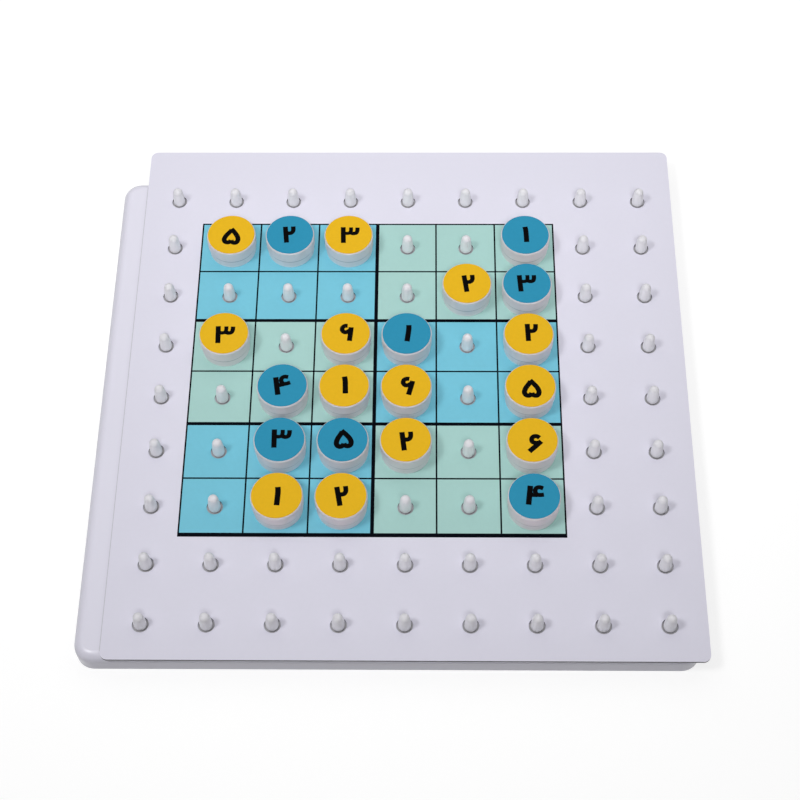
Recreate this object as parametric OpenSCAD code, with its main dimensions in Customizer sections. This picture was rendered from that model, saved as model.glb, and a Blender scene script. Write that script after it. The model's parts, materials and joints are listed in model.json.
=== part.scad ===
// Sudoku board: a white moulded tray with rows of pegs, a printed card that drops over the
// pegs, and round number pieces that slip onto the pegs and rest on the card.
// Millimetres. +Z is up, +X is right and +Y is towards the back edge.
// The origin lies under the middle peg, on the plane that the tray stands on.

/* [Peg field] */
// Pegs along each side of the square field
pegs_per_side = 9; // [8:1:12]
// Distance between neighbouring pegs
peg_pitch = 25; // [23:0.5:30]
// Diameter of a peg's straight part
peg_d = 4.4; // [3.8:0.1:5]
// How far a peg's shank narrows towards its foot, from its radius
peg_shank_taper = 0.15; // [0.05:0.05:0.3]
// Diameter of a peg's round tip
peg_tip_d = 3.6; // [2.8:0.1:4.2]
// Height of a peg's tip above the card
peg_above_card = 8.4; // [6:0.2:10]
// Length of a peg's straight part above the tray
peg_straight_h = 4; // [2:0.5:5]

/* [Base tray] */
// Height of the tray
tray_h = 9.6; // [8:0.2:14]
// Tray edge to the first peg column, left
tray_margin_left = 25.2; // [16:0.2:32]
// Last peg column to the tray edge, right
tray_margin_right = 12; // [9:0.2:32]
// First peg row to the tray edge, back
tray_margin_back = 12; // [9:0.2:32]
// Last peg row to the tray edge, front
tray_margin_front = 13.6; // [9:0.2:32]
// Radius of the tray's upright corners
tray_corner_r = 7.5; // [6:0.5:12]
// Radius of the tray's rounded top edge
tray_edge_r = 4; // [2:0.25:5]
// Thickness of the tray's top plate
tray_plate_t = 2.4; // [1.6:0.2:4]
// Thickness of the tray's outer wall
tray_wall = 2.2; // [1.6:0.2:4]
// Thickness of the stiffening ribs below the plate
tray_rib_t = 1.6; // [1:0.2:2.4]
// Wall of the boss round each peg socket
boss_wall = 1.8; // [1:0.1:3]
// Thickness of the closed end of each peg socket
socket_floor_t = 1.2; // [0.8:0.2:2.4]
// Radial clearance of a peg at the mouth of its socket
socket_clearance = 0.03; // [0.01:0.01:0.1]

/* [Overlay card] */
// Thickness of the card
card_t = 1; // [0.5:0.1:2]
// Card edge to the first peg column, left
card_margin_left = 14.4; // [6:0.2:24]
// Last peg column to the card edge, right
card_margin_right = 14.6; // [6:0.2:24]
// First peg row to the card edge, back
card_margin_back = 27.6; // [6:0.2:40]
// Last peg row to the card edge, front
card_margin_front = 14.2; // [6:0.2:24]
// Radius of the card's corners
card_corner_r = 3; // [1:0.5:6]
// Radial clearance of a peg in its card hole
card_hole_clearance = 1; // [0.6:0.1:1.6]

/* [Number pieces] */
// Diameter of a cap's upper band
cap_d = 20.6; // [18:0.2:22]
// Thickness of a cap's roof
cap_roof_t = 1.2; // [0.8:0.1:2]
// Height of a cap's lower band
cap_band_h = 4.2; // [3:0.2:5]
// How far a cap's lower band is drawn in
cap_band_inset = 0.3; // [0.1:0.05:0.6]
// Draft of a cap's side, lost from its radius at the foot
cap_draft = 0.15; // [0:0.05:0.3]
// Chamfer round a cap's top edge
cap_chamfer = 0.4; // [0.2:0.1:0.8]
// Wall thickness of a cap
cap_wall = 1.4; // [1:0.1:2]
// Gap between a peg's tip and the end of a cap's socket
cap_tip_gap = 0.4; // [0.2:0.1:1]
// Wall of the socket tube inside a cap
cap_tube_wall = 1.5; // [1:0.1:2.2]
// Radial clearance of a peg in a cap's socket
cap_peg_clearance = 0.3; // [0.15:0.05:0.4]
// Lead-in chamfer at the mouth of a cap's socket
cap_lead_in = 0.5; // [0.2:0.1:0.8]
// Ribs between a cap's socket tube and its wall
cap_ribs = 6; // [3:1:8]
// Thickness of a cap's ribs
cap_rib_t = 1; // [0.6:0.1:1.6]
// How far the socket tube and the ribs stay above the card
cap_rib_lift = 0.6; // [0.2:0.1:1.5]
// Bare rim between a number label and a cap's chamfer
label_margin = 0.1; // [0:0.05:1.5]
// Thickness of a number label
label_t = 0.2; // [0.1:0.05:0.5]

/* [Hidden] */
// Print cells with a piece as [row, column, label colour], counted from 1 at the back left
YELLOW = [0.90, 0.71, 0.15];
BLUE = [0.19, 0.58, 0.73];
PIECES = [
    [1, 1, YELLOW], [1, 2, BLUE], [1, 3, YELLOW], [1, 6, BLUE],
    [2, 5, YELLOW], [2, 6, BLUE],
    [3, 1, YELLOW], [3, 3, YELLOW], [3, 4, BLUE], [3, 6, YELLOW],
    [4, 2, BLUE], [4, 3, YELLOW], [4, 4, YELLOW], [4, 6, YELLOW],
    [5, 2, BLUE], [5, 3, BLUE], [5, 4, YELLOW], [5, 6, YELLOW],
    [6, 2, YELLOW], [6, 3, YELLOW], [6, 6, BLUE]
];

function cell_name(piece) = str("r", piece[0], "c", piece[1]);
function cap_name(piece) = str("cap_", cell_name(piece));
function label_name(piece) = str("label_", cell_name(piece));

// Half the distance between the outermost pegs
field_half = (pegs_per_side - 1) * peg_pitch / 2;
LAST_PEG = pegs_per_side - 1;

// Sockets and holes that the pegs fit
socket_d = peg_d + 2 * socket_clearance;
boss_d = socket_d + 2 * boss_wall;
card_hole_d = peg_d + 2 * card_hole_clearance;
cap_bore_r = peg_d / 2 + cap_peg_clearance;
cap_bore_depth = peg_above_card + cap_tip_gap;

// Radii and height of a cap
cap_r = cap_d / 2;
cap_band_r = cap_r - cap_band_inset;
cap_foot_r = cap_band_r - cap_draft;
cap_inner_r = cap_foot_r - cap_wall;
cap_tube_r = cap_bore_r + cap_tube_wall;
cap_h = cap_bore_depth + cap_roof_t;
label_r = cap_r - cap_chamfer - label_margin;

// Levels, from the table up
peg_seat_z = socket_floor_t;
card_z = tray_h;
piece_z = card_z + card_t;
peg_top_z = piece_z + peg_above_card;
label_z = piece_z + cap_h;

// Number of flats that stand for a full circle
$fn = 64;

// How far a cut runs past the face that it opens
CUT = 1;

// Place of a peg, with its column counted from the left and its row from the back
function peg_place(column, row) = [column * peg_pitch - field_half, field_half - row * peg_pitch];

module at_pegs() {
    for (column = [0:LAST_PEG], row = [0:LAST_PEG]) {
        translate(peg_place(column, row)) children();
    }
}

// Rectangle from one corner to the other, with round corners
module round_rectangle(low, high, r) {
    span = high - low;
    translate([low.x + r, low.y]) square([span.x - 2 * r, span.y]);
    translate([low.x, low.y + r]) square([span.x, span.y - 2 * r]);
    for (x = [low.x + r, high.x - r], y = [low.y + r, high.y - r]) {
        translate([x, y]) circle(r);
    }
}

// Half section of the tray's rim, from the corner's axis out to the wall
module rim_section() {
    square([tray_corner_r - tray_edge_r, tray_h]);
    square([tray_corner_r, tray_h - tray_edge_r]);
    translate([tray_corner_r - tray_edge_r, tray_h - tray_edge_r]) intersection() {
        circle(tray_edge_r);
        square(tray_edge_r);
    }
}

// Solid block of the tray: round upright corners and a round top edge
module tray_block(low, high) {
    inner = [low.x + tray_corner_r, low.y + tray_corner_r];
    span = high - low - 2 * [tray_corner_r, tray_corner_r];
    corners = [
        [inner.x + span.x, inner.y],
        [inner.x + span.x, inner.y + span.y],
        [inner.x, inner.y + span.y],
        inner
    ];
    translate([inner.x, inner.y, 0]) cube([span.x, span.y, tray_h]);
    for (side = [0:3]) {
        side_length = side % 2 == 0 ? span.y : span.x;
        translate(corners[side]) rotate([0, 0, side * 90]) {
            rotate([0, 0, -90]) rotate_extrude(angle = 90) rim_section();
            rotate([90, 0, 0]) mirror([0, 0, 1]) linear_extrude(side_length) rim_section();
        }
    }
}

// Plan of the open cells between the tray's ribs, bosses and outer wall
module tray_cells(low, high) {
    wall = [tray_wall, tray_wall];
    difference() {
        round_rectangle(low + wall, high - wall, tray_corner_r - tray_wall);
        for (index = [0:LAST_PEG]) {
            offset_from_middle = index * peg_pitch - field_half;
            translate([offset_from_middle - tray_rib_t / 2, low.y]) square([tray_rib_t, high.y - low.y]);
            translate([low.x, offset_from_middle - tray_rib_t / 2]) square([high.x - low.x, tray_rib_t]);
        }
        at_pegs() circle(d = boss_d);
    }
}

// White moulded tray, open below, with a closed socket under every peg
module base_tray() {
    low = [-field_half - tray_margin_left, -field_half - tray_margin_front];
    high = [field_half + tray_margin_right, field_half + tray_margin_back];
    color([0.93, 0.92, 0.95]) difference() {
        tray_block(low, high);
        translate([0, 0, -CUT]) linear_extrude(tray_h - tray_plate_t + CUT) tray_cells(low, high);
        at_pegs() translate([0, 0, peg_seat_z]) cylinder(d = socket_d, h = tray_h);
    }
}

// Half section of a peg: tapered shank, straight part, and a neck that runs smoothly into the round tip
module peg_section() {
    peg_r = peg_d / 2;
    tip_r = peg_tip_d / 2;
    tip_z = peg_top_z - tip_r;
    neck_z = tray_h + peg_straight_h;
    // Angle above the tip's widest ring at which the neck touches the tip
    touch = acos(tip_r / norm([peg_r, tip_z - neck_z])) - atan2(tip_z - neck_z, peg_r);
    touch_z = tip_z + tip_r * sin(touch);
    polygon([
        [0, peg_seat_z], [peg_r - peg_shank_taper, peg_seat_z], [peg_r, tray_h],
        [peg_r, neck_z], [tip_r * cos(touch), touch_z], [0, touch_z]
    ]);
    intersection() {
        translate([0, tip_z]) circle(tip_r);
        translate([0, touch_z]) square(tip_r);
    }
}

// All the pegs, each a separate pin pressed into its socket
module pegs() {
    color([0.92, 0.92, 0.93]) at_pegs() rotate_extrude() peg_section();
}

// Thin card with a hole for every peg
module overlay_card() {
    low = [-field_half - card_margin_left, -field_half - card_margin_front];
    high = [field_half + card_margin_right, field_half + card_margin_back];
    color([0.95, 0.94, 0.97]) translate([0, 0, card_z]) linear_extrude(card_t) difference() {
        round_rectangle(low, high, card_corner_r);
        at_pegs() circle(d = card_hole_d);
    }
}

// Half section of a cap's shell, from its axis out
module cap_shell_section() {
    polygon([
        [0, cap_bore_depth], [cap_inner_r, cap_bore_depth], [cap_inner_r, 0], [cap_foot_r, 0],
        [cap_band_r, cap_band_h], [cap_r, cap_band_h + cap_band_inset],
        [cap_r, cap_h - cap_chamfer], [cap_r - cap_chamfer, cap_h], [0, cap_h]
    ]);
}

// Half section of the socket tube inside a cap, open at the foot and rooted in the roof
module cap_tube_section() {
    root_z = cap_bore_depth + cap_roof_t / 2;
    polygon([
        [cap_bore_r + cap_lead_in, cap_rib_lift], [cap_tube_r, cap_rib_lift],
        [cap_tube_r, root_z], [cap_bore_r, root_z], [cap_bore_r, cap_rib_lift + cap_lead_in]
    ]);
}

// Milky cap of one number piece, standing on the card over its peg
module number_cap() {
    rib_start = cap_tube_r - cap_tube_wall / 2;
    rib_end = cap_inner_r + cap_wall / 2;
    rib_size = [rib_end - rib_start, cap_rib_t, cap_bore_depth - cap_rib_lift];
    color([0.93, 0.93, 0.92]) {
        rotate_extrude() cap_shell_section();
        rotate_extrude() cap_tube_section();
        for (rib = [0:cap_ribs - 1]) {
            rotate([0, 0, rib * 360 / cap_ribs]) {
                translate([rib_start, -cap_rib_t / 2, cap_rib_lift]) cube(rib_size);
            }
        }
    }
}

// Thin round label on top of a cap
module number_label(label_color) {
    color(label_color) cylinder(r = label_r, h = label_t);
}

base_tray();
pegs();
overlay_card();
for (piece = PIECES) {
    place = peg_place(piece[1], piece[0]);
    translate([place.x, place.y, piece_z]) number_cap();
    translate([place.x, place.y, label_z]) number_label(piece[2]);
}
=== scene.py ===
import json
import math

import bmesh
import bpy
from mathutils import Euler, Matrix, Vector
from mathutils.geometry import delaunay_2d_cdt


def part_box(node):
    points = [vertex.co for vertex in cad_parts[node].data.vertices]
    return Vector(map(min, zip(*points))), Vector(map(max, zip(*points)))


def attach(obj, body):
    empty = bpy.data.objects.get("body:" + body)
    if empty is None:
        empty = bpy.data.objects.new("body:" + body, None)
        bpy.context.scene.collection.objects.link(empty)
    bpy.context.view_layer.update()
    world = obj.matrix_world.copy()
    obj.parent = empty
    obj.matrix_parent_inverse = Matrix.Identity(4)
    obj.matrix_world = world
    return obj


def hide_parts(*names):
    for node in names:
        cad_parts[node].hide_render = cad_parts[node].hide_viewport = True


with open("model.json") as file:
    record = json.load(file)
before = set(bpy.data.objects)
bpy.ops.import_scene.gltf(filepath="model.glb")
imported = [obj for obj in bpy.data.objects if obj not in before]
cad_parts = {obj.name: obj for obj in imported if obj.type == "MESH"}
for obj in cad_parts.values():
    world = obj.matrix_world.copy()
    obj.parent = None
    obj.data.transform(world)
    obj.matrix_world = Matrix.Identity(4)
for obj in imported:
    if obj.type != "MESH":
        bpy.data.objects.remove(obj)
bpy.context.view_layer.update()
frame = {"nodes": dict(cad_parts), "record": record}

MM = 0.001

# Card: its printed grid of six by six cells, in boxes of three columns by two rows
CARD_LOW, CARD_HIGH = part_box("overlay_card")
CARD_BOTTOM, CARD_TOP = CARD_LOW.z, CARD_HIGH.z
CARD_SKIN = 0.05 * MM
CELLS = 6
BOX_COLUMNS = 3
BOX_ROWS = 2
CELL_WIDTH = 25.2 * MM
CELL_DEPTH = 25.0 * MM
GRID_LEFT = -88.6 * MM
GRID_BACK = 87.9 * MM
THIN_LINE = 0.68 * MM
BOX_LINE = 1.5 * MM
FRONT_LINE = 1.75 * MM

# Colours as linear RGB
TRAY_WHITE = (0.79, 0.775, 0.885)
PEG_WHITE = (0.94, 0.93, 0.97)
# Painted shade: the dark colour that stands in for shade in gaps, at steps, and on lit tips and
# rims
PAINTED_SHADE = (0.47, 0.46, 0.49)
CAP_WHITE = (0.86, 0.805, 0.83)
CARD_WHITE = (0.79, 0.775, 0.885)
# Dark colour on the card's cut edges, round its outline and in its holes
CARD_EDGE_DARK = (0.11, 0.11, 0.12)
CARD_BACK = (0.57, 0.55, 0.52)
BOX_BLUE = (0.20, 0.59, 0.74)
BOX_GREEN = (0.42, 0.67, 0.63)
LINE_INK = (0.0008, 0.0014, 0.004)
LABEL_COLOURS = {"label_yellow": (0.86, 0.50, 0.015), "label_blue": (0.03, 0.30, 0.485)}
NUMBER_INK = (0.0006, 0.0005, 0.0006)

# Part of a noise's range that is spread over a range of values
NOISE_MIDDLE = (0.3, 0.7)

# Pegs: stouter above the tray than the CAD's pins, as the photograph shows them
PEG_PITCH = 25.0 * MM
PEGS_PER_SIDE = 9
PEG_SHANK_R = (2.05 * MM, 2.2 * MM)
PEG_R = 2.4 * MM
PEG_TIP_R = 2.0 * MM
PEG_STRAIGHT = 4.0 * MM
PEG_SEGMENTS = 32
PEG_TIP_STEPS = 8
PEG_SHARP_ANGLE = 40

# Painted shade on the tray: dark rings in the card's holes round the pegs, and a painted shadow
# along the card's left edge
TRAY_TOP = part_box("base_tray")[1].z
TRAY_SKIN = 0.1 * MM
PEG_FIELD = 110.0 * MM
PEG_GAP = 3.2 * MM
PEG_GAP_FADE = 0.3 * MM
# Painted shadow of the card's left edge on the tray: its width and its darkness
CARD_SHADE = 0.45 * MM
CARD_SHADE_SHARE = 0.6

# Painted shade on the pegs: round their feet, below the card's top, and faintly on their tips,
# where it dims their light
PEG_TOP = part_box("pegs")[1].z
PEG_FOOT_FADE = 0.25 * MM
# Painted shade on the peg tips: from where it starts to where it is full, and how dark
PEG_TIP_SHADE = (PEG_TOP - 2.4 * MM, PEG_TOP - 0.6 * MM)
PEG_TIP_SHARE = 0.22

# Painted shade on the caps: a dark line along the step in their side, and faint shade on their
# rims, where it dims their light
CAP_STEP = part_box("cap_r1c1")[0].z + 3.95 * MM
CAP_STEP_FADE = (0.45 * MM, 0.25 * MM)
CAP_STEP_SHARE = 0.8
# Faint painted shade on the caps' rims: where it starts, and how dark
CAP_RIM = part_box("cap_r1c1")[1].z - 0.4 * MM
CAP_RIM_SHARE = 0.25

# Numbers as pen strokes: points in millimetres from the middle of the number, and a width
NUMBERS = {
    1: [([(-0.35, 4.0), (0.0, 1.6), (0.2, -4.0)], 2.2)],
    2: [([(-1.7, 4.05), (-0.8, -4.3)], 2.1),
        ([(1.7, 4.2), (1.75, 2.1), (1.1, 0.9), (-0.1, 0.6), (-1.1, 0.85)], 1.95)],
    3: [([(-3.1, 4.15), (-2.8, -4.15)], 2.1),
        ([(-2.7, 1.05), (-1.3, 0.85), (-0.1, 1.25), (0.25, 2.35), (0.25, 4.05)], 1.7),
        ([(0.2, 1.15), (1.3, 0.8), (2.5, 1.15), (2.95, 2.35), (3.0, 3.95)], 1.85)],
    4: [([(-1.55, 4.05), (-2.5, -4.25)], 2.2),
        ([(3.4, 2.85), (1.9, 3.4), (0.6, 2.85), (0.25, 1.55), (0.8, 0.25), (2.1, 0.0),
          (3.6, 0.15)], 1.85),
        ([(-2.0, 0.1), (1.0, 0.0)], 1.95)],
    5: [([(-0.6, 3.8), (1.05, 1.95), (2.35, 0.15), (2.9, -1.65), (2.45, -3.05), (1.35, -3.4),
          (0.35, -2.95), (0.0, -2.1)], 2.1),
        ([(-0.3, 3.3), (-1.15, 1.95), (-2.35, 0.15), (-2.95, -1.75), (-2.45, -3.05),
          (-1.35, -3.4), (-0.35, -2.95), (0.0, -2.1)], 2.1)],
    6: [([(0.45, 3.3), (-0.65, 3.25), (-1.65, 2.4), (-1.7, 1.1), (-0.75, 0.15), (0.45, 0.4),
          (1.75, 1.5)], 1.95),
        ([(1.9, 2.6), (1.75, 0.5), (1.3, -4.1)], 2.1)],
}
STROKE_STEPS = 6

# Number on each label, its turn in degrees, and its shift from the label's middle in millimetres
LABELS = {
    "r1c1": (5, -4, (0.3, -0.9)), "r1c2": (2, 0, (-0.4, 0.0)), "r1c3": (3, 0, (0.7, -0.3)),
    "r1c6": (1, 0, (0.3, 0.1)), "r2c5": (2, 2, (0.6, -0.1)), "r2c6": (3, 2, (0.1, 0.0)),
    "r3c1": (3, 0, (0.6, -0.8)), "r3c3": (6, 0, (0.3, 0.3)), "r3c4": (1, -9, (0.6, 0.0)),
    "r3c6": (2, -4, (0.9, 0.5)), "r4c2": (4, 15, (-0.2, 0.2)), "r4c3": (1, 0, (0.4, 0.1)),
    "r4c4": (6, -9, (0.3, -0.2)), "r4c6": (5, 0, (0.4, -1.3)), "r5c2": (3, -1, (0.9, 0.2)),
    "r5c3": (5, 5, (0.4, 0.2)), "r5c4": (2, 1, (0.2, -0.7)), "r5c6": (6, -41, (0.3, -1.4)),
    "r6c2": (1, -5, (0.4, -0.4)), "r6c3": (2, 4, (0.3, -0.2)), "r6c6": (4, 0, (0.1, 0.4)),
}
LABEL_SEGMENTS = 96
LABEL_EDGE = 0.05 * MM
LABEL_SPREAD = 0.1 * MM
PAPER_SLOT, INK_SLOT = 0, 1

# Cutting a label's face: only what lies inside the outlines is kept, and near points are merged
CUT_INSIDE_ONLY = 1
CUT_MERGE = 1e-7

# Camera at the photograph's viewpoint, from the card's top over the origin
CAMERA_OFFSET = Vector((7.33, -360.26, 601.56)) * MM
CAMERA_TURN = (30.864, 0.642, 0.509)
SENSOR_WIDTH = 36.0
LENS = 77.45

# Floor: just under the tray, matt near the board and plain white farther out
FLOOR_GREY = (0.4, 0.4, 0.4, 1)
FLOOR_DROP = 0.1 * MM
FLOOR_FADE = (0.35, 0.8)
FLOOR_SEGMENTS = 8


# Materials


class Field:
    """A number that varies over a surface, so that a print's rules read as sums and tests."""

    def __init__(self, tree, socket):
        self.tree = tree
        self.socket = socket

    def _math(self, operation, *others):
        inputs = dict(enumerate([self, *others]))
        node = add_node(self.tree, "ShaderNodeMath", inputs, operation=operation)
        return Field(self.tree, node.outputs[0])

    def __add__(self, other):
        return self._math("ADD", other)

    def __sub__(self, other):
        return self._math("SUBTRACT", other)

    def __mul__(self, other):
        return self._math("MULTIPLY", other)

    def __truediv__(self, other):
        return self._math("DIVIDE", other)

    def __mod__(self, other):
        return self._math("MODULO", other)

    def __lt__(self, other):
        return self._math("LESS_THAN", other)

    def __gt__(self, other):
        return self._math("GREATER_THAN", other)

    def __and__(self, other):
        return self._math("MINIMUM", other)

    def __or__(self, other):
        return self._math("MAXIMUM", other)

    def absolute(self):
        return self._math("ABSOLUTE")

    def floor(self):
        return self._math("FLOOR")

    def to_nearest_whole(self):
        """Distance to the nearest whole number."""
        return (self - self._math("ROUND")).absolute()

    def between(self, low, high):
        return (self > low) & (self < high)

    def ramp(self, start, end, low=0.0, high=1.0):
        """Low up to the start, high from the end on, and even between them."""
        inputs = {"Value": self, "From Min": start, "From Max": end, "To Min": low, "To Max": high}
        node = add_node(self.tree, "ShaderNodeMapRange", inputs)
        return Field(self.tree, node.outputs["Result"])


def feed(socket, value):
    """Links a field or a socket to an input, or sets the input to a plain value."""
    source = value.socket if isinstance(value, Field) else value
    if isinstance(source, bpy.types.NodeSocket):
        socket.id_data.links.new(source, socket)
    else:
        socket.default_value = source


def add_node(tree, kind, inputs=None, **settings):
    """New node with its settings, and its inputs fed."""
    node = tree.nodes.new(kind)
    for key, value in settings.items():
        setattr(node, key, value)
    for key, value in (inputs or {}).items():
        feed(node.inputs[key], value)
    return node


def new_material(name):
    """New material; returns it, its tree and its main shader."""
    material = bpy.data.materials.new(name)
    material.use_nodes = True
    tree = material.node_tree
    return material, tree, tree.nodes["Principled BSDF"]


def set_inputs(shader, **values):
    """Feeds a shader's inputs, named with underscores for spaces."""
    for key, value in values.items():
        feed(shader.inputs[key.replace("_", " ")], value)


def surface_position(tree):
    """Socket with the place on the piece, in metres."""
    return add_node(tree, "ShaderNodeTexCoord").outputs["Object"]


def surface_fields(tree):
    """The place on the piece as three fields."""
    position = add_node(tree, "ShaderNodeSeparateXYZ", {0: surface_position(tree)})
    return [Field(tree, socket) for socket in position.outputs]


def noise(tree, grain, detail=2.0):
    """Smooth noise from 0 to 1, with grains of about the given size."""
    inputs = {"Vector": surface_position(tree), "Scale": 1 / grain, "Detail": detail}
    return Field(tree, add_node(tree, "ShaderNodeTexNoise", inputs).outputs["Fac"])


def blend(share, low, high):
    """Socket with a colour between two colours, by a field."""
    node = add_node(share.tree, "ShaderNodeMix", data_type="RGBA")
    sockets = {socket.identifier: socket for socket in node.inputs}
    feed(sockets["Factor_Float"], share)
    for name, colour in (("A_Color", low), ("B_Color", high)):
        feed(sockets[name], (*colour, 1.0) if isinstance(colour, tuple) else colour)
    return next(socket for socket in node.outputs if socket.identifier == "Result_Color")


def mottled(share, colour, dark, light):
    """Socket with a colour that wanders, by a field, between two shares of itself."""
    low, high = (tuple(channel * factor for channel in colour) for factor in (dark, light))
    return blend(share, low, high)


def relief(tree, grain, depth):
    """Socket with a surface direction that is bumped by noise."""
    inputs = {"Height": noise(tree, grain), "Distance": depth, "Strength": 1.0}
    return add_node(tree, "ShaderNodeBump", inputs).outputs["Normal"]


def moulded_plastic(name, colour, gloss, cloud, painted_shade_rule, **values):
    """Plastic with faint clouds, painted shade where a rule puts it, uneven gloss and a shallow
    grain.
    """
    material, tree, shader = new_material(name)
    clouds = mottled(noise(tree, cloud, detail=4.0), colour, dark=0.965, light=1.02)
    set_inputs(
        shader,
        # Base colour darkened towards the painted shade colour where the rule's mask says
        Base_Color=blend(painted_shade_rule(*surface_fields(tree)), clouds, PAINTED_SHADE),
        Roughness=noise(tree, grain=9 * MM, detail=5.0).ramp(*NOISE_MIDDLE, *gloss),
        Normal=relief(tree, grain=0.9 * MM, depth=0.003 * MM),
        **values,
    )
    return material


# Painted shade on the tray: dark rings seen through the card's holes round the pegs, and a painted
# shadow along the card's left edge
def painted_shade_on_tray(x, y, z):
    across = (x / PEG_PITCH).to_nearest_whole() * PEG_PITCH
    along = (y / PEG_PITCH).to_nearest_whole() * PEG_PITCH
    square = across * across + along * along
    near_peg = square.ramp(PEG_GAP ** 2, (PEG_GAP - PEG_GAP_FADE) ** 2)
    round_pegs = near_peg & x.between(-PEG_FIELD, PEG_FIELD)
    # Painted shadow in a strip on the tray beside the card's left edge
    by_card = x.between(CARD_LOW.x - CARD_SHADE, CARD_LOW.x) & (y > CARD_LOW.y)
    return (round_pegs | (by_card * CARD_SHADE_SHARE)) & (z > TRAY_TOP - TRAY_SKIN)


# Painted shade on the pegs: dark below the card's top, where they stand in the card's holes, and
# faint shade on their tips
def painted_shade_on_peg(_x, _y, z):
    # Faint painted shade on the tips, which dims the light on them
    tip = z.ramp(*PEG_TIP_SHADE) * PEG_TIP_SHARE
    return tip | z.ramp(CARD_TOP, CARD_TOP - PEG_FOOT_FADE)


# Painted shade on the caps: a dark line along the step in their side, and faint shade on their rims
def painted_shade_on_cap(_x, _y, z):
    # Painted shade in a line along the step
    step = (z - CAP_STEP).absolute().ramp(*CAP_STEP_FADE) * CAP_STEP_SHARE
    # Faint painted shade on the rims, which dims the light on them
    return step | ((z > CAP_RIM) * CAP_RIM_SHARE)


def printed_lines(column, row):
    """Where the grid's lines are: thin round every cell, wider between boxes, widest in front."""
    thin_x = THIN_LINE / 2 / CELL_WIDTH
    thin_y = THIN_LINE / 2 / CELL_DEPTH
    box_x = BOX_LINE / 2 / (BOX_COLUMNS * CELL_WIDTH)
    box_y = BOX_LINE / 2 / (BOX_ROWS * CELL_DEPTH)
    front_y = FRONT_LINE / 2 / CELL_DEPTH
    thin = (column.to_nearest_whole() < thin_x) | (row.to_nearest_whole() < thin_y)
    upright = ((column / BOX_COLUMNS).to_nearest_whole() < box_x) & column.between(1, CELLS - 1)
    level = ((row / BOX_ROWS).to_nearest_whole() < box_y) & row.between(1, CELLS - 1)
    front = row.between(CELLS - front_y, CELLS + front_y)
    in_width = column.between(-thin_x, CELLS + thin_x)
    in_depth = row.between(-thin_y, CELLS + front_y)
    return (thin | upright | level | front) & in_width & in_depth


def printed_card():
    """White card, printed on its top face under a satin film, with dark edges and a grey back."""
    material, tree, shader = new_material("printed_card")
    x, y, z = surface_fields(tree)
    column = (x - GRID_LEFT) / CELL_WIDTH
    row = (y - GRID_BACK) / -CELL_DEPTH
    lines = printed_lines(column, row)
    in_grid = column.between(0, CELLS) & row.between(0, CELLS)
    other_box = ((column / BOX_COLUMNS).floor() + (row / BOX_ROWS).floor()) % 2

    fibres = noise(tree, grain=1.6 * MM, detail=4.0)
    paper = mottled(fibres, CARD_WHITE, dark=0.985, light=1.01)
    blue = mottled(fibres, BOX_BLUE, dark=0.96, light=1.03)
    green = mottled(fibres, BOX_GREEN, dark=0.97, light=1.02)
    back = mottled(fibres, CARD_BACK, dark=0.9, light=1.08)
    face = blend(lines, blend(in_grid, paper, blend(other_box, blue, green)), LINE_INK)
    below = blend(z < CARD_BOTTOM + CARD_SKIN, CARD_EDGE_DARK, back)
    set_inputs(
        shader,
        Base_Color=blend(z > CARD_TOP - CARD_SKIN, below, face),
        Specular_IOR_Level=lines.ramp(0.0, 1.0, low=0.12, high=0.02),
        Roughness=noise(tree, grain=12 * MM, detail=4.0).ramp(*NOISE_MIDDLE, low=0.36, high=0.46),
        Normal=relief(tree, grain=0.5 * MM, depth=0.002 * MM),
    )
    return material


def label_paper(name, colour):
    """Printed sticker paper: even ink with a faint mottle and a satin face."""
    material, tree, shader = new_material(name)
    mottle = noise(tree, grain=1.2 * MM, detail=3.0)
    set_inputs(
        shader,
        Base_Color=mottled(mottle, colour, dark=0.95, light=1.04),
        Specular_IOR_Level=0.08,
        Roughness=noise(tree, grain=3 * MM).ramp(*NOISE_MIDDLE, low=0.42, high=0.55),
        Normal=relief(tree, grain=0.4 * MM, depth=0.003 * MM),
    )
    return material


def number_ink():
    """Black printing ink, with little shine."""
    material, tree, shader = new_material("number_ink")
    set_inputs(
        shader,
        Base_Color=mottled(noise(tree, grain=0.8 * MM), NUMBER_INK, dark=1.0, light=2.5),
        Specular_IOR_Level=0.02,
        Roughness=noise(tree, grain=1.5 * MM).ramp(*NOISE_MIDDLE, low=0.34, high=0.46),
    )
    return material


def dress(nodes, material):
    """Puts one material on CAD nodes."""
    for node in nodes:
        data = frame["nodes"][node].data
        data.materials.clear()
        data.materials.append(material)


# Shapes


def circle(radius, segments):
    """Points round the origin."""
    angles = [2 * math.pi * index / segments for index in range(segments)]
    return [Vector((radius * math.cos(angle), radius * math.sin(angle))) for angle in angles]


def add_ring(mesh, middle, height, points):
    """New corners at one height, at points round a middle."""
    return [mesh.verts.new((middle.x + p.x, middle.y + p.y, height)) for p in points]


def add_wall(mesh, lower, upper):
    """Faces between two rings of equally many corners."""
    for index in range(len(lower)):
        after = (index + 1) % len(lower)
        mesh.faces.new((lower[index], lower[after], upper[after], upper[index]))


def new_data(name, mesh):
    """Mesh data from an edited mesh, which is freed."""
    data = bpy.data.meshes.new(name)
    mesh.to_mesh(data)
    mesh.free()
    return data


def new_object(name, data):
    """Object in the scene."""
    thing = bpy.data.objects.new(name, data)
    bpy.context.scene.collection.objects.link(thing)
    return thing


# Pegs


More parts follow.
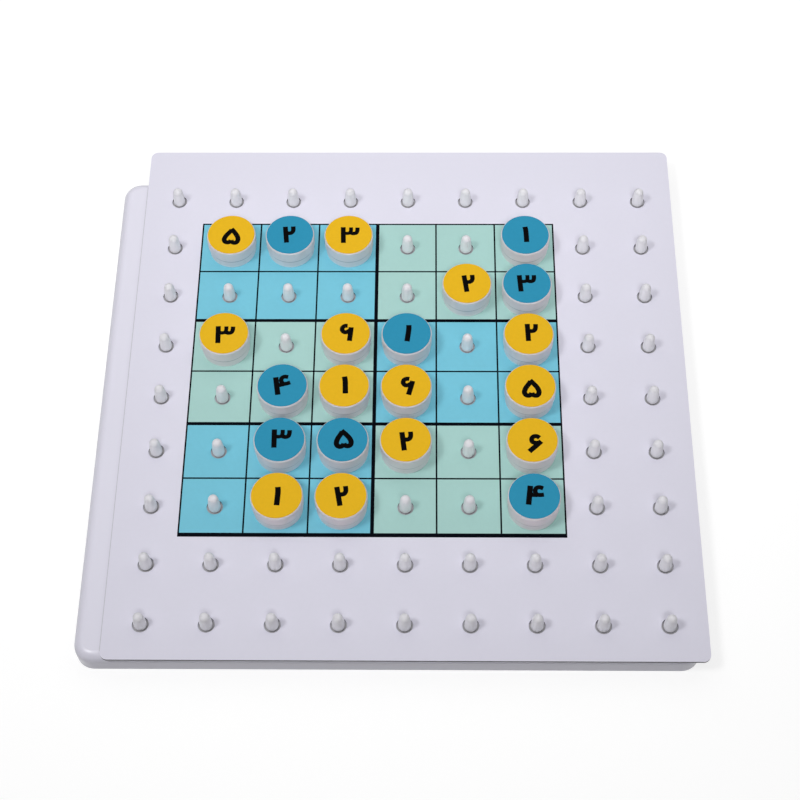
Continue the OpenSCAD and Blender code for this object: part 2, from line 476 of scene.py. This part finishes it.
def peg_profile(foot, top):
    """Half section of a peg from its foot up, as radius and height, without its topmost point."""
    neck = TRAY_TOP + PEG_STRAIGHT
    tip = top - PEG_TIP_R
    # Angle above the tip's widest ring at which the neck touches the tip
    slope = math.atan2(tip - neck, PEG_R)
    touch = math.acos(PEG_TIP_R / math.hypot(PEG_R, tip - neck)) - slope
    shank_foot, shank_top = PEG_SHANK_R
    profile = [(shank_foot, foot), (shank_top, TRAY_TOP), (PEG_R, TRAY_TOP), (PEG_R, neck)]
    for step in range(PEG_TIP_STEPS):
        angle = touch + (math.pi / 2 - touch) * step / PEG_TIP_STEPS
        profile.append((PEG_TIP_R * math.cos(angle), tip + PEG_TIP_R * math.sin(angle)))
    return profile


def add_pegs(material):
    """All the pegs in the place of the CAD's pins, riding on the base."""
    low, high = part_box("pegs")
    profile = peg_profile(low.z, high.z)
    reach = PEG_PITCH * (PEGS_PER_SIDE - 1) / 2
    places = [PEG_PITCH * index - reach for index in range(PEGS_PER_SIDE)]
    mesh = bmesh.new()
    for middle in [Vector((x, y)) for x in places for y in places]:
        rings = [add_ring(mesh, middle, z, circle(r, PEG_SEGMENTS)) for r, z in profile]
        mesh.faces.new(rings[0][::-1])
        for lower, upper in zip(rings, rings[1:]):
            add_wall(mesh, lower, upper)
        tip = mesh.verts.new((middle.x, middle.y, high.z))
        for index in range(PEG_SEGMENTS):
            mesh.faces.new((rings[-1][index], rings[-1][(index + 1) % PEG_SEGMENTS], tip))
    for face in mesh.faces:
        face.smooth = True
    data = new_data("moulded_pegs", mesh)
    data.set_sharp_from_angle(angle=math.radians(PEG_SHARP_ANGLE))
    data.materials.append(material)
    pegs = new_object(data.name, data)
    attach(pegs, "base")
    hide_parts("pegs")


# Number labels


def smooth_path(points):
    """Points along a smooth curve through the given ones."""
    guides = [2 * points[0] - points[1], *points, 2 * points[-1] - points[-2]]
    path = [points[0]]
    for before, start, end, after in zip(guides, guides[1:], guides[2:], guides[3:]):
        for step in range(1, STROKE_STEPS + 1):
            t = step / STROKE_STEPS
            bend = 2 * before - 5 * start + 4 * end - after
            twist = 3 * start - before - 3 * end + after
            path.append((2 * start + (end - before) * t + bend * t ** 2 + twist * t ** 3) / 2)
    return path


def stroke_outline(points, width):
    """Anticlockwise outline of a pen stroke along a smooth curve, with square ends."""
    path = smooth_path([Vector(point) for point in points])
    left, right = [], []
    for index, point in enumerate(path):
        ahead = path[min(index + 1, len(path) - 1)] - path[max(index - 1, 0)]
        across = ahead.orthogonal().normalized() * width / 2
        left.append(point + across)
        right.append(point - across)
    return right + left[::-1]


def number_outlines(number, turn, shift):
    """Outlines of a number's strokes, turned and shifted on its label, in metres."""
    rotation = Matrix.Rotation(math.radians(turn), 2)
    shift = Vector(shift)
    strokes = [stroke_outline(points, width) for points, width in NUMBERS[number]]
    return [[(rotation @ corner + shift) * MM for corner in stroke] for stroke in strokes]


def label_mesh(name, middle, radius, low, high, outlines):
    """Round sticker with a softened top edge, its top face cut along the number's outlines."""
    corners = circle(radius - LABEL_EDGE, LABEL_SEGMENTS)
    loops = [list(range(len(corners)))]
    for outline in outlines:
        loops.append(list(range(len(corners), len(corners) + len(outline))))
        corners = corners + outline
    points, _, triangles, sources, _, covers = delaunay_2d_cdt(
        corners, [], loops, CUT_INSIDE_ONLY, CUT_MERGE, True)

    mesh = bmesh.new()
    top = add_ring(mesh, middle, high, points)
    for triangle, cover in zip(triangles, covers):
        face = mesh.faces.new([top[index] for index in triangle])
        face.material_index = INK_SLOT if max(cover) > 0 else PAPER_SLOT
    rim = {source: vert for vert, given in zip(top, sources) for source in given}
    rings = [[rim[index] for index in range(LABEL_SEGMENTS)]]
    for height in (high - LABEL_EDGE, low):
        rings.append(add_ring(mesh, middle, height, circle(radius, LABEL_SEGMENTS)))
    for upper, lower in zip(rings, rings[1:]):
        add_wall(mesh, lower, upper)
    mesh.faces.new(rings[-1][::-1])
    bmesh.ops.recalc_face_normals(mesh, faces=mesh.faces)
    return new_data(name, mesh)


def add_label(cell, paper, ink):
    """Printed label in the place of a CAD label, riding on its number piece."""
    node = f"label_{cell}"
    low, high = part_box(node)
    outlines = number_outlines(*LABELS[cell])
    radius = (high.x - low.x) / 2 + LABEL_SPREAD
    data = label_mesh(f"printed_{node}", (low + high) / 2, radius, low.z, high.z, outlines)
    data.materials.append(paper)
    data.materials.append(ink)
    label = new_object(data.name, data)
    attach(label, f"piece_{cell}")
    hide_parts(node)


# Camera, floor and light


def add_camera():
    data = bpy.data.cameras.new("camera")
    data.sensor_width = SENSOR_WIDTH
    data.lens = LENS
    camera = new_object("camera", data)
    camera.location = CAMERA_OFFSET + Vector((0, 0, CARD_TOP))
    camera.rotation_euler = Euler([math.radians(angle) for angle in CAMERA_TURN])
    bpy.context.scene.camera = camera


def place_light(data, place, aim):
    """Puts a light in its place, turned towards a point."""
    light = new_object(data.name, data)
    light.location = place
    light.rotation_euler = (Vector(aim) - Vector(place)).to_track_quat("-Z", "Y").to_euler()


def add_soft_box(name, place, width, depth, power):
    """Soft box that faces the middle of the board."""
    data = bpy.data.lights.new(name, "AREA")
    data.shape = "RECTANGLE"
    data.size = width
    data.size_y = depth
    data.energy = power
    place_light(data, place, aim=(0, 0, 0))


def add_soft_spot(name, place, aim, angle, radius, power):
    """Wide lamp that is strongest at its aim and fades out evenly round it."""
    data = bpy.data.lights.new(name, "SPOT")
    data.spot_size = math.radians(angle)
    data.spot_blend = 1.0
    data.shadow_soft_size = radius
    data.energy = power
    place_light(data, place, aim)


def seen_directly(tree):
    """1 for rays from the camera, a reflection or a clear body, and 0 for light on things."""
    rays = add_node(tree, "ShaderNodeLightPath")
    kinds = ("Is Camera Ray", "Is Glossy Ray", "Is Transmission Ray")
    camera, glossy, clear = (Field(tree, rays.outputs[kind]) for kind in kinds)
    return camera | glossy | clear


def floor_finish(glow):
    """Looks white but keeps the board's shadow, and runs out into the white background."""
    material = bpy.data.materials.new("floor")
    material.use_nodes = True
    tree = material.node_tree
    tree.nodes.clear()
    matt = add_node(tree, "ShaderNodeBsdfDiffuse", {"Color": FLOOR_GREY}).outputs[0]
    lift = add_node(tree, "ShaderNodeEmission", {"Strength": seen_directly(tree) * glow}).outputs[0]
    near = add_node(tree, "ShaderNodeAddShader", {0: matt, 1: lift}).outputs[0]
    far = add_node(tree, "ShaderNodeEmission", {"Strength": seen_directly(tree)}).outputs[0]
    reach = add_node(tree, "ShaderNodeVectorMath", {0: surface_position(tree)}, operation="LENGTH")
    start, end = FLOOR_FADE
    inputs = {"Value": reach.outputs["Value"], "From Min": start, "From Max": end}
    share = add_node(tree, "ShaderNodeMapRange", inputs, interpolation_type="SMOOTHSTEP")
    inputs = {0: share.outputs["Result"], 1: near, 2: far}
    mixed = add_node(tree, "ShaderNodeMixShader", inputs)
    add_node(tree, "ShaderNodeOutputMaterial", {"Surface": mixed.outputs[0]})
    return material


def add_floor(size, glow):
    mesh = bmesh.new()
    bmesh.ops.create_grid(mesh, x_segments=FLOOR_SEGMENTS, y_segments=FLOOR_SEGMENTS, size=size)
    data = new_data("floor", mesh)
    data.materials.append(floor_finish(glow))
    floor = new_object("floor", data)
    floor.location.z = -FLOOR_DROP


def light_world(level):
    """Even light from all round, with a white background."""
    world = bpy.data.worlds.new("studio")
    bpy.context.scene.world = world
    world.use_nodes = True
    tree = world.node_tree
    background = tree.nodes["Background"]
    feed(background.inputs["Color"], (1, 1, 1, 1))
    feed(background.inputs["Strength"], seen_directly(tree) * (1 - level) + level)


# The board

tray_finish = moulded_plastic(
    "tray_plastic", TRAY_WHITE, gloss=(0.24, 0.27), cloud=60 * MM, painted_shade_rule=painted_shade_on_tray)
peg_finish = moulded_plastic(
    "peg_plastic", PEG_WHITE, gloss=(0.5, 0.6), cloud=20 * MM, painted_shade_rule=painted_shade_on_peg,
    Subsurface_Weight=0.3, Subsurface_Radius=(1.0, 1.0, 1.0), Subsurface_Scale=1.2 * MM,
    Specular_IOR_Level=0.2)
cap_finish = moulded_plastic(
    "cap_plastic", CAP_WHITE, gloss=(0.34, 0.46), cloud=12 * MM, painted_shade_rule=painted_shade_on_cap,
    Subsurface_Weight=0.35, Subsurface_Radius=(1.0, 0.9, 0.85), Subsurface_Scale=1.2 * MM,
    Specular_IOR_Level=0.35)
dress(["base_tray"], tray_finish)
add_pegs(peg_finish)
dress(["overlay_card"], printed_card())
dress([f"cap_{cell}" for cell in LABELS], cap_finish)

papers = {slot: label_paper(slot, colour) for slot, colour in LABEL_COLOURS.items()}
ink = number_ink()
for subpart in frame["record"]["subparts"]:
    slot = subpart["material_slot"]
    if slot in papers:
        add_label(subpart["node"].removeprefix("label_"), papers[slot], ink)

add_camera()
add_soft_box("key", place=(-0.53, -0.25, 1.09), width=0.25, depth=0.25, power=4.5)
add_soft_box("top", place=(0.05, 0.22, 0.45), width=1.0, depth=0.6, power=1.25)
add_soft_spot(
    "fill", place=(0.1, -0.7, 1.3), aim=(0, 0.285, 0), angle=31.5, radius=0.35, power=63.5)
light_world(level=0.1)
add_floor(size=3.0, glow=0.7)
bpy.context.scene.view_settings.view_transform = "Standard"
